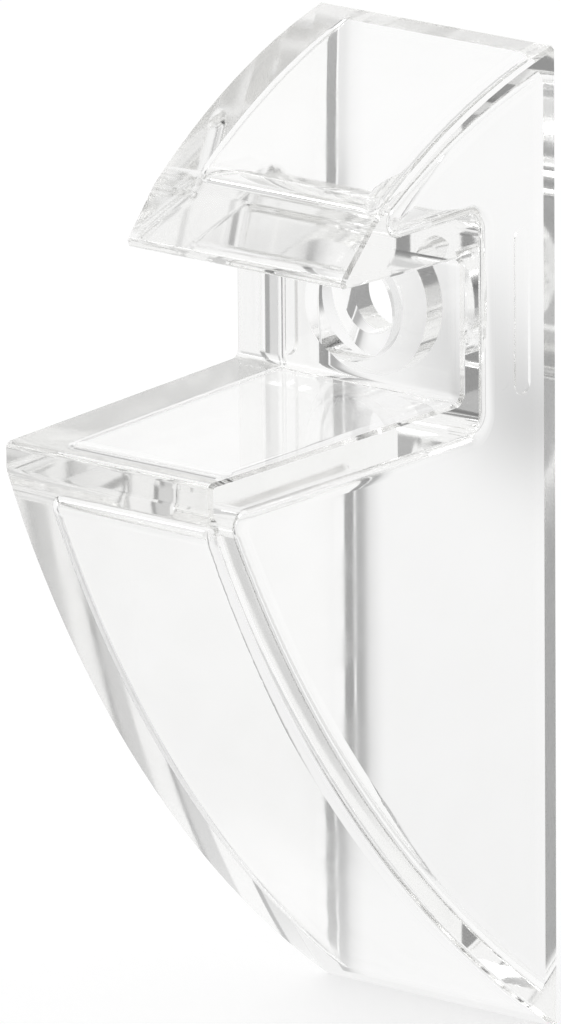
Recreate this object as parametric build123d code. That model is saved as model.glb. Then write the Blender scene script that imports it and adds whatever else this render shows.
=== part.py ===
from build123d import *
import math
import os

# Frame: millimetres, +Z up, X across the clip, the wall plane at Y = 0 with the clip in front of it towards -Y.
# The origin is where the screw's axis meets the wall plane.

# Outside of the clip
clip_height = 70.0  # from the sharp bottom edge to the top back edge, along the wall
wall_width = 20.4  # across the back
clip_depth = 36.0  # from the wall to the front of the seat
side_lean_share = 0.035  # each side leans in by this share of the distance from the wall

# Slot that holds the edge of the shelf
jaw_height = 23.0  # top back edge above the seat
seat_height = clip_height - jaw_height  # seat above the bottom edge
throat_gap = 10.1  # opening at the bottom of the slot
mouth_gap = 10.5  # opening at the lip
throat_depth = 9.8  # from the wall to the bottom of the slot

# Upper jaw
lip_depth = 22.8  # from the wall to the lower edge of the lip
nose_depth = 19.2  # from the wall to the crease above the lip
nose_rise = 14.3  # crease above the seat
nose_height = seat_height + nose_rise  # crease above the bottom edge
nose_radius = 50.0  # of the curved top

# Lower jaw
front_edge_height = 2.0  # upright front edge of the seat
belly_radius = 106.0  # of the curved belly

# Walls round the hollow, which is open towards the wall
side_wall = 1.9
top_wall = 1.9
ceiling_wall = 2.3
throat_wall = 3.5
seat_wall = 3.0
belly_wall = 2.6  # at the front
belly_foot_wall = 1.9  # at the bottom edge

# Screw fixing at mid height of the slot
screw_hole = 4.8  # diameter
head_recess = 7.6  # diameter of the recess that takes the screw's head
recess_depth = 1.9  # of the recess's straight wall
head_cone = 0.6  # depth of the flat cone between the recess and the hole
boss = 10.4  # diameter of the boss that backs the recess
boss_height = 1.8  # how far the boss stands out behind the throat

# Shallow upright groove in each side, near the back
groove_width = 1.6
groove_length = 11.8
groove_depth = 0.25
groove_setback = 3.4  # from the wall to its middle line

# Rounding
slot_corner_radius = 0.7  # at the bottom of the slot
lip_radius = 0.45  # along the lip and the front of the seat
crease_radius = 1.2  # at the two blunt creases
edge_bevel = 0.25  # along both sides of the outline
room_corner_radius = 1.3  # at the corners of the lower room and of the passage
nose_corner_radius = 1.2  # at the sharp front of the upper room
hollow_edge_share = 0.9  # of that radius, where the hollow meets the sides

overrun = 2.0  # how far a cut runs past the face it opens

# Heights measured from the screw's axis, which is midway up the slot at its bottom
seat_z = -throat_gap / 2
bottom_z = seat_z - seat_height
top_z = bottom_z + clip_height
ceiling_z = seat_z + throat_gap
lip_z = seat_z + mouth_gap
nose_z = bottom_z + nose_height
front_z = seat_z - front_edge_height
passage_y = throat_wall - throat_depth  # face of the throat towards the wall

# Points of the side view, as (y, z)
bottom_point = (0, bottom_z)
front_point = (-clip_depth, front_z)
seat_front = (-clip_depth, seat_z)
seat_back = (-throat_depth, seat_z)
ceiling_back = (-throat_depth, ceiling_z)
lip_point = (-lip_depth, lip_z)
nose_point = (-nose_depth, nose_z)
top_point = (0, top_z)


def arc_centre(start, end, radius):
    """Centre of the arc between two points, to the left of the way from start to end."""
    chord_y = end[0] - start[0]
    chord_z = end[1] - start[1]
    chord = math.hypot(chord_y, chord_z)
    reach = math.sqrt(radius**2 - (chord / 2) ** 2)
    middle_y = (start[0] + end[0]) / 2
    middle_z = (start[1] + end[1]) / 2
    return (middle_y - reach * chord_z / chord, middle_z + reach * chord_y / chord)


belly_centre = arc_centre(front_point, bottom_point, belly_radius)
nose_centre = arc_centre(top_point, nose_point, nose_radius)


def inward(point, centre, wall):
    """Point of an arc moved towards its centre by the thickness of a wall."""
    way_y = centre[0] - point[0]
    way_z = centre[1] - point[1]
    way = math.hypot(way_y, way_z)
    return (point[0] + wall * way_y / way, point[1] + wall * way_z / way)


def bulging_arc(start, end, radius):
    """Arc of that radius between two points of the side view, bulging away from its centre."""
    centre = arc_centre(start, end, radius)
    lean_y = (start[0] + end[0]) / 2 - centre[0]
    lean_z = (start[1] + end[1]) / 2 - centre[1]
    lean = math.hypot(lean_y, lean_z)
    crown = (centre[0] + radius * lean_y / lean, centre[1] + radius * lean_z / lean)
    return ThreePointArc(start, crown, end)


def round_corner(outline, corner, radius):
    """Rounds the corner of a flat outline that is nearest to the point given."""
    vertex = outline.vertices().sort_by_distance((0, corner[0], corner[1]))[0]
    return fillet(vertex, radius)


def beak_outline():
    """Side view of the whole clip, with the slot open to the front."""
    with BuildSketch(Plane.YZ) as view:
        with BuildLine():
            bulging_arc(front_point, bottom_point, belly_radius)
            Polyline(front_point, seat_front, seat_back, ceiling_back, lip_point, nose_point)
            bulging_arc(top_point, nose_point, nose_radius)
            Line(top_point, bottom_point)
        make_face()
    outline = view.sketch
    for corner in (seat_back, ceiling_back):
        outline = round_corner(outline, corner, slot_corner_radius)
    for corner in (seat_front, lip_point):
        outline = round_corner(outline, corner, lip_radius)
    for corner in (front_point, nose_point):
        outline = round_corner(outline, corner, crease_radius)
    return outline


def patch(y_back, y_front, z_low, z_high):
    """Rectangle of the side view between those limits."""
    middle = ((y_back + y_front) / 2, (z_low + z_high) / 2)
    return Plane.YZ * Pos(*middle) * Rectangle(y_back - y_front, z_high - z_low)


def belly_inside():
    """Round of the lower room: an arc along the belly, whose wall thins towards the bottom edge."""
    radius = belly_radius - belly_wall
    front = inward(front_point, belly_centre, belly_wall)
    bottom = inward(bottom_point, belly_centre, belly_foot_wall)
    return Plane.YZ * Pos(*arc_centre(front, bottom, radius)) * Circle(radius)


def hollow_outline():
    """Side view of the hollow: a lower room, an upper room and the passage behind the throat."""
    roof_z = seat_z - seat_wall
    floor_z = ceiling_z + ceiling_wall
    lower_room = patch(overrun, -clip_depth, bottom_z, roof_z) & belly_inside()
    upper_round = Plane.YZ * Pos(*nose_centre) * Circle(nose_radius - top_wall)
    upper_room = patch(overrun, -lip_depth, floor_z, top_z) & upper_round
    passage = patch(overrun, passage_y, roof_z, floor_z)
    outline = lower_room + passage + upper_room
    outline = round_corner(outline, (-clip_depth, roof_z), room_corner_radius)
    outline = round_corner(outline, (passage_y, roof_z), room_corner_radius)
    outline = round_corner(outline, (passage_y, floor_z), room_corner_radius)
    return round_corner(outline, (-lip_depth, floor_z), nose_corner_radius)


def between_sides(inset):
    """Block as wide as the clip less an inset from each side, leaning in towards the front."""
    front = clip_depth + overrun
    half_back = wall_width / 2 - inset + overrun * side_lean_share
    half_front = wall_width / 2 - inset - front * side_lean_share
    corners = [(half_back, overrun), (half_front, -front), (-half_front, -front), (-half_back, overrun)]
    with BuildSketch(Plane.XY.offset(bottom_z - overrun)) as plan:
        with BuildLine():
            Polyline(*corners, close=True)
        make_face()
    return extrude(plan.sketch, amount=clip_height + 2 * overrun)


def slab(outline, inset):
    """The outline carried across the clip, up to an inset from each side."""
    return extrude(outline, amount=wall_width, both=True) & between_sides(inset)


def side_edges(solid, back_y):
    """Edges round both sides of a slab, without those that lie on its back plane."""
    sides = solid.faces().sort_by(Axis.X)
    edges = ShapeList(sides[0].edges() + sides[-1].edges())
    return edges.filter_by_position(Axis.Y, -clip_depth - overrun, back_y - lip_radius)


def body():
    """Outside of the clip, solid."""
    solid = slab(beak_outline(), 0)
    return chamfer(side_edges(solid, 0), edge_bevel)


def hollow():
    """Space inside the clip, which runs out through the back."""
    solid = slab(hollow_outline(), side_wall)
    return fillet(side_edges(solid, overrun), hollow_edge_share * nose_corner_radius)


def turned(*points):
    """Solid turned about the screw's axis from half its outline, as (radius, y) points."""
    with BuildSketch(Plane.XY) as half:
        with BuildLine():
            Polyline(*points, close=True)
        make_face()
    return revolve(half.sketch, axis=Axis.Y)


def screw_boss():
    """Boss behind the throat, which makes up for the depth of the recess."""
    radius = boss / 2
    root_y = passage_y - throat_wall / 2
    end_y = passage_y + boss_height
    return turned((0, root_y), (radius, root_y), (radius, end_y), (0, end_y))


def screw_opening():
    """Hole for the screw, with a recess and a flat cone for its head in the face of the throat."""
    hole = screw_hole / 2
    rim = head_recess / 2
    front_y = -throat_depth - overrun
    step_y = recess_depth - throat_depth
    cone_y = step_y + head_cone
    return turned((0, overrun), (hole, overrun), (hole, cone_y), (rim, step_y), (rim, front_y), (0, front_y))


def side_grooves():
    """Shallow upright groove in each side, with rounded ends."""
    length = SlotOverall(groove_length, groove_width, rotation=90)
    mark = Plane.YZ * Pos(-groove_setback, 0) * length
    return extrude(mark, amount=wall_width, both=True) - between_sides(groove_depth)


def shelf_clip():
    """The whole clip, moulded as one piece."""
    clip = body() - hollow() + screw_boss()
    return clip - screw_opening() - side_grooves()


os.makedirs("parts", exist_ok=True)
export_step(shelf_clip(), "parts/shelf_clip.step")
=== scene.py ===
import math

import bpy
from mathutils import Matrix, Vector


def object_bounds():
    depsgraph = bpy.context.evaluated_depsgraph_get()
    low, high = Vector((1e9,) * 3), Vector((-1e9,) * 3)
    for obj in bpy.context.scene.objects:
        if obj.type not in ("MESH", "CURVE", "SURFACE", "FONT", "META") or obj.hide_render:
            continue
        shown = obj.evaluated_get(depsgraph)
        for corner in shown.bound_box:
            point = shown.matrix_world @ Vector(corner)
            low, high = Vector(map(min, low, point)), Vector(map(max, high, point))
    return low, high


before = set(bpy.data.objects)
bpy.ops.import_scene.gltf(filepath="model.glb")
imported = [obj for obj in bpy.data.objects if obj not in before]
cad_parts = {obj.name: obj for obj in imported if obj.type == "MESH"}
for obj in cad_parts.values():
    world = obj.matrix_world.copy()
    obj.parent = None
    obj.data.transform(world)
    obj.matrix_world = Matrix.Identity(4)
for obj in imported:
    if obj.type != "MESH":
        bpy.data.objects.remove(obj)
cad_box = [list(corner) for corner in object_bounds()]

# Lengths are in metres. Azimuth 0 is in front of the clip, and 90 degrees on its right.
WHITE = (1.0, 1.0, 1.0, 1.0)

# Picture and camera
PICTURE_WIDTH = 561
PICTURE_HEIGHT = 1024
SENSOR = 36.0  # mm, along the picture's height
FOCAL_PIXELS = 15426.0
AZIMUTH = 38.633
ELEVATION = 16.336
ROLL = math.radians(-0.437)
DISTANCE = 1.05
AIM_POINT = Vector((0.0, -0.01795, -0.01705))
AIM_PIXEL = (275.75, 574.57)

# Clear plastic: a haze that makes gloss and tint uneven, ripples of the flow, and absorption
REFRACTION = 1.5
HAZE_SCALE = 220.0
HAZE_DETAIL = 2.0
HAZE_ROUGHNESS = 0.55
GLOSS_HAZE = (0.35, 0.7)
GLOSS_ROUGHNESS = (0.03, 0.075)
TINT_HAZE = (0.3, 0.7)
CLEAR_TINT = (1.0, 1.0, 0.998, 1.0)
HAZY_TINT = (0.99, 0.99, 0.986, 1.0)
FLOW_SCALE = (160.0, 160.0, 60.0)
RIPPLE_STRENGTH = 0.02
RIPPLE_HEIGHT = 0.001
DEPTH_COLOUR = (0.942, 0.941, 0.934, 1.0)
DEPTH_DENSITY = 48.0

# Dark cards round the clip: azimuth and elevation of the middle, inner and outer radius in degrees, and level
DARK_CARDS = (
    (-40, -11, 9, 22, 0.27),
    (-36, 8, 7, 17, 0.45),
    (-50, -38, 7, 15, 0.85),
    (-76, -54, 8, 24, 0.7),
    (-133, -32, 3.5, 6.5, 0.72),
    (58, -44, 10, 25, 0.68),
    (146, 2, 12, 28, 0.68),
    (-120, -25, 6, 15, 0.6),
    (-156, -33, 4, 9, 0.45),
)

# White wall opposite the camera, in the same terms, with the level of the pale grey beyond it
WHITE_WALL = (-142, -16, 18, 42, 0.86)

# Paper behind the clip, a glowing sheet with painted shading: its brightness at two heights, darker lower
# down
PAPER_HEIGHTS = (-0.048, 0.012)
PAPER_LEVELS = (0.92, 0.985)

# Shades along its left edge, as the x where each starts and ends, and its strength
PAPER_EDGE_SHADES = (
    (-0.0059, -0.0082, 0.3),
    (-0.0072, -0.0081, 0.4),
)

# Heights between which those shades fade, and the share of them that is left above
SHADE_FADE_HEIGHTS = (-0.001, 0.009)
SHADE_LEFT_SHARE = 0.3

# Painted shadows of the throat and the boss on it, as x, z, half width, half height and strength
PAPER_PAINTED_SHADOWS = (
    (0.007, -0.0085, 0.006, 0.005, 0.33),
    (0.002, -0.003, 0.0045, 0.0045, 0.16),
)
PAPER_GAP = 0.0004
PAPER_MARGIN = 0.00175

# Floor and lamp
FLOOR_SIZE = 6.0
FLOOR_COLOUR = (0.3, 0.3, 0.3, 1.0)
FLOOR_GLOW = 0.72
LAMP_PLACE = Vector((-0.7, -0.9, 1.2))
LAMP_SIZE = 0.8
LAMP_POWER = 6.0  # W
LAMP_BOUNCES = 1

# Bounces that light needs inside the clip
CLIP_BOUNCES = 32
CLIP_REFLECTIONS = 24
FLOOR_BOUNCES = 2


def direction(azimuth, elevation):
    """Unit vector towards an azimuth and elevation in degrees."""
    turn = math.radians(azimuth)
    rise = math.radians(elevation)
    level = math.cos(rise)
    return Vector((math.sin(turn) * level, -math.cos(turn) * level, math.sin(rise)))


def node(tree, kind, **inputs):
    """New shader node with plain values on the named inputs."""
    made = tree.nodes.new(kind)
    for name, value in inputs.items():
        made.inputs[name.replace("_", " ")].default_value = value
    return made


def source(tree, kind, output):
    """Output socket of a new node that takes no inputs."""
    return tree.nodes.new(kind).outputs[output]


def feed(tree, socket, value):
    """Gives an input a plain number or a link from another socket."""
    if isinstance(value, (int, float)):
        socket.default_value = value
    else:
        tree.links.new(value, socket)


def math_node(tree, operation, first, second=None):
    """Math node fed by sockets or plain numbers; gives its output socket."""
    made = tree.nodes.new("ShaderNodeMath")
    made.operation = operation
    feed(tree, made.inputs[0], first)
    if second is not None:
        feed(tree, made.inputs[1], second)
    return made.outputs[0]


def ramp_between(tree, value, low, high, at_low=0.0, at_high=1.0):
    """Smooth step of a socket from one level to another."""
    made = tree.nodes.new("ShaderNodeMapRange")
    made.interpolation_type = "SMOOTHSTEP"
    tree.links.new(value, made.inputs["Value"])
    made.inputs["From Min"].default_value = low
    made.inputs["From Max"].default_value = high
    made.inputs["To Min"].default_value = at_low
    made.inputs["To Max"].default_value = at_high
    return made.outputs["Result"]


def aim_camera():
    """Camera at the photograph's viewing angle, turned so that the aim point lands on its pixel."""
    data = bpy.data.cameras.new("camera")
    data.sensor_fit = "VERTICAL"
    data.sensor_height = SENSOR
    data.lens = FOCAL_PIXELS * SENSOR / PICTURE_HEIGHT
    camera = bpy.data.objects.new("camera", data)
    bpy.context.scene.collection.objects.link(camera)
    back = direction(AZIMUTH, ELEVATION)
    right = Vector((0.0, 0.0, 1.0)).cross(back).normalized()
    up = back.cross(right)
    right = right * math.cos(ROLL) + up * math.sin(ROLL)
    up = back.cross(right)
    eye = AIM_POINT + back * DISTANCE
    across = PICTURE_WIDTH / 2 - AIM_PIXEL[0]
    down = PICTURE_HEIGHT / 2 - AIM_PIXEL[1]
    look = (-back * FOCAL_PIXELS + right * across - up * down).normalized()
    back = -look
    right = up.cross(back).normalized()
    up = back.cross(right)
    turn = Matrix((right, up, back)).transposed().to_4x4()
    camera.matrix_world = Matrix.Translation(eye) @ turn
    bpy.context.scene.camera = camera


def haze_on_surface(tree, place, shader):
    """Slightly uneven gloss and tint, from one fine noise."""
    haze = node(tree, "ShaderNodeTexNoise", Scale=HAZE_SCALE, Detail=HAZE_DETAIL, Roughness=HAZE_ROUGHNESS)
    tree.links.new(place, haze.inputs["Vector"])
    gloss = ramp_between(tree, haze.outputs["Fac"], *GLOSS_HAZE, *GLOSS_ROUGHNESS)
    tree.links.new(gloss, shader.inputs["Roughness"])
    tint = tree.nodes.new("ShaderNodeMix")
    tint.data_type = "RGBA"
    tree.links.new(ramp_between(tree, haze.outputs["Fac"], *TINT_HAZE), tint.inputs["Factor"])
    tint.inputs["A"].default_value = CLEAR_TINT
    tint.inputs["B"].default_value = HAZY_TINT
    tree.links.new(tint.outputs["Result"], shader.inputs["Base Color"])


def ripples_of_flow(tree, place, shader):
    """Faint ripples, drawn out along the clip's height."""
    stretch = node(tree, "ShaderNodeMapping", Scale=FLOW_SCALE)
    tree.links.new(place, stretch.inputs["Vector"])
    flow = node(tree, "ShaderNodeTexNoise", Scale=1.0, Detail=0.0)
    tree.links.new(stretch.outputs["Vector"], flow.inputs["Vector"])
    ripple = node(tree, "ShaderNodeBump", Strength=RIPPLE_STRENGTH, Distance=RIPPLE_HEIGHT)
    tree.links.new(flow.outputs["Fac"], ripple.inputs["Height"])
    tree.links.new(ripple.outputs["Normal"], shader.inputs["Normal"])


def clear_plastic(material):
    """Clear moulded plastic: polished, with faint ripples of the flow and a slightly uneven gloss."""
    material.use_nodes = True
    tree = material.node_tree
    tree.nodes.clear()
    output = tree.nodes.new("ShaderNodeOutputMaterial")
    shader = node(tree, "ShaderNodeBsdfPrincipled", IOR=REFRACTION, Transmission_Weight=1.0)
    place = source(tree, "ShaderNodeTexCoord", "Object")
    haze_on_surface(tree, place, shader)
    ripples_of_flow(tree, place, shader)
    tree.links.new(shader.outputs[0], output.inputs["Surface"])
    depth = node(tree, "ShaderNodeVolumeAbsorption", Color=DEPTH_COLOUR, Density=DEPTH_DENSITY)
    tree.links.new(depth.outputs[0], output.inputs["Volume"])


def patch_level(tree, azimuth, elevation, inner, outer, inside, outside):
    """Level in each direction of the studio: one value in a soft round patch and another beyond it."""
    toward = tree.nodes.new("ShaderNodeVectorMath")
    toward.operation = "DOT_PRODUCT"
    tree.links.new(source(tree, "ShaderNodeTexCoord", "Generated"), toward.inputs[0])
    toward.inputs[1].default_value = direction(azimuth, elevation)
    rim = math.cos(math.radians(outer))
    core = math.cos(math.radians(inner))
    return ramp_between(tree, toward.outputs["Value"], rim, core, outside, inside)


def studio_world():
    """White surroundings; dark cards in them show only where the clip reflects them."""
    world = bpy.data.worlds.new("studio")
    bpy.context.scene.world = world
    world.use_nodes = True
    world.cycles.sampling_method = "NONE"
    tree = world.node_tree
    tree.nodes.clear()
    output = tree.nodes.new("ShaderNodeOutputWorld")
    background = node(tree, "ShaderNodeBackground", Color=WHITE)
    light_path = tree.nodes.new("ShaderNodeLightPath").outputs
    cards = 1.0
    for *patch, card_level in DARK_CARDS:
        cards = math_node(tree, "MULTIPLY", cards, patch_level(tree, *patch, card_level, 1.0))
    *patch, grey = WHITE_WALL
    through = patch_level(tree, *patch, 1.0, grey)
    mirrored = math_node(tree, "MINIMUM", light_path["Glossy Depth"], 1.0)
    reflected = math_node(tree, "MULTIPLY", cards, mirrored)
    direct = math_node(tree, "MULTIPLY", through, math_node(tree, "SUBTRACT", 1.0, mirrored))
    level = math_node(tree, "MAXIMUM", math_node(tree, "ADD", reflected, direct), light_path["Is Camera Ray"])
    feed(tree, background.inputs["Strength"], level)
    tree.links.new(background.outputs[0], output.inputs["Surface"])


def flat_sheet(name, corners):
    """Flat rectangle that belongs to the stage, with a new material of its own."""
    mesh = bpy.data.meshes.new(name)
    mesh.from_pydata(corners, [], [(0, 1, 2, 3)])
    sheet = bpy.data.objects.new(name, mesh)
    bpy.context.scene.collection.objects.link(sheet)
    material = bpy.data.materials.new(name)
    material.use_nodes = True
    material.cycles.emission_sampling = "NONE"
    material.node_tree.nodes.clear()
    mesh.materials.append(material)
    return sheet, material.node_tree


def floor():
    """Pale floor that comes out white and keeps a light shadow of the clip."""
    half = FLOOR_SIZE / 2
    height = cad_box[0][2]
    corners = [(-half, -half, height), (half, -half, height), (half, half, height), (-half, half, height)]
    sheet, tree = flat_sheet("floor", corners)
    sheet.visible_transmission = False
    sheet.visible_glossy = False
    output = tree.nodes.new("ShaderNodeOutputMaterial")
    pale = node(tree, "ShaderNodeBsdfDiffuse", Color=FLOOR_COLOUR)
    glow = node(tree, "ShaderNodeEmission", Color=WHITE)
    seen = source(tree, "ShaderNodeLightPath", "Is Camera Ray")
    feed(tree, glow.inputs["Strength"], math_node(tree, "MULTIPLY", seen, FLOOR_GLOW))
    both = tree.nodes.new("ShaderNodeAddShader")
    tree.links.new(pale.outputs[0], both.inputs[0])
    tree.links.new(glow.outputs[0], both.inputs[1])
    tree.links.new(both.outputs[0], output.inputs["Surface"])


def squared_offset(tree, value, middle, half):
    """Square of the distance from a middle, counted in half widths."""
    offset = math_node(tree, "SUBTRACT", value, middle)
    return math_node(tree, "POWER", math_node(tree, "DIVIDE", offset, half), 2.0)


def darkened(tree, level, shade, strength):
    """Level less a shade of that strength."""
    clear = math_node(tree, "SUBTRACT", 1.0, math_node(tree, "MULTIPLY", shade, strength))
    return math_node(tree, "MULTIPLY", level, clear)


def paper_level(tree):
    """Painted brightness of the paper: darker lower down, with painted contact shadows along its left edge
    and painted shadows of the throat and boss.
    """
    spread = tree.nodes.new("ShaderNodeSeparateXYZ")
    tree.links.new(source(tree, "ShaderNodeTexCoord", "Object"), spread.inputs[0])
    across, up = spread.outputs["X"], spread.outputs["Z"]
    # Painted shading: the glow is darker lower down
    level = ramp_between(tree, up, *PAPER_HEIGHTS, *PAPER_LEVELS)
    kept = ramp_between(tree, up, *SHADE_FADE_HEIGHTS, 1.0, SHADE_LEFT_SHARE)
    # Painted contact shadows along the left edge, beside the clip's rim
    for first, last, strength in PAPER_EDGE_SHADES:
        shade = ramp_between(tree, across, last, first, strength, 0.0)
        level = darkened(tree, level, shade, kept)
    # Painted shadows of the throat and the boss, as soft dark blobs
    for x, z, half_width, half_height, strength in PAPER_PAINTED_SHADOWS:
        wide = squared_offset(tree, across, x, half_width)
        high = squared_offset(tree, up, z, half_height)
        away = math_node(tree, "ADD", wide, high)
        fade = math_node(tree, "EXPONENT", math_node(tree, "MULTIPLY", away, -1.0))
        level = darkened(tree, level, fade, strength)
    return level


def paper():
    """Paper behind the open back, a glowing sheet with painted shading and shadows, seen only through the
    clip and from the front.
    """
    low, high = cad_box
    half = high[0] - PAPER_MARGIN
    bottom = low[2] + PAPER_MARGIN
    top = high[2] - PAPER_MARGIN
    corners = [(x, PAPER_GAP, z) for x, z in ((-half, bottom), (half, bottom), (half, top), (-half, top))]
    sheet, tree = flat_sheet("paper", corners)
    sheet.visible_camera = False
    sheet.visible_diffuse = False
    sheet.visible_shadow = False
    output = tree.nodes.new("ShaderNodeOutputMaterial")
    # Its glow carries the painted shading and shadows
    glow = node(tree, "ShaderNodeEmission", Color=WHITE)
    feed(tree, glow.inputs["Strength"], paper_level(tree))
    through = node(tree, "ShaderNodeBsdfTransparent", Color=WHITE)
    side = tree.nodes.new("ShaderNodeMixShader")
    tree.links.new(source(tree, "ShaderNodeNewGeometry", "Backfacing"), side.inputs[0])
    tree.links.new(glow.outputs[0], side.inputs[1])
    tree.links.new(through.outputs[0], side.inputs[2])
    tree.links.new(side.outputs[0], output.inputs["Surface"])


def soft_lamp():
    """Large soft lamp at the front left, which gives the floor its light shadow."""
    data = bpy.data.lights.new("soft_lamp", "AREA")
    data.shape = "DISK"
    data.size = LAMP_SIZE
    data.energy = LAMP_POWER
    data.cycles.max_bounces = LAMP_BOUNCES
    lamp = bpy.data.objects.new("soft_lamp", data)
    bpy.context.scene.collection.objects.link(lamp)
    lamp.location = LAMP_PLACE
    lamp.rotation_euler = (-LAMP_PLACE).to_track_quat("-Z", "Y").to_euler()


aim_camera()
clear_plastic(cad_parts["shelf_clip"].material_slots[0].material)
studio_world()
floor()
paper()
soft_lamp()

scene = bpy.context.scene
scene.view_settings.view_transform = "Standard"
scene.cycles.max_bounces = CLIP_BOUNCES
scene.cycles.transmission_bounces = CLIP_BOUNCES
scene.cycles.glossy_bounces = CLIP_REFLECTIONS
scene.cycles.diffuse_bounces = FLOOR_BOUNCES
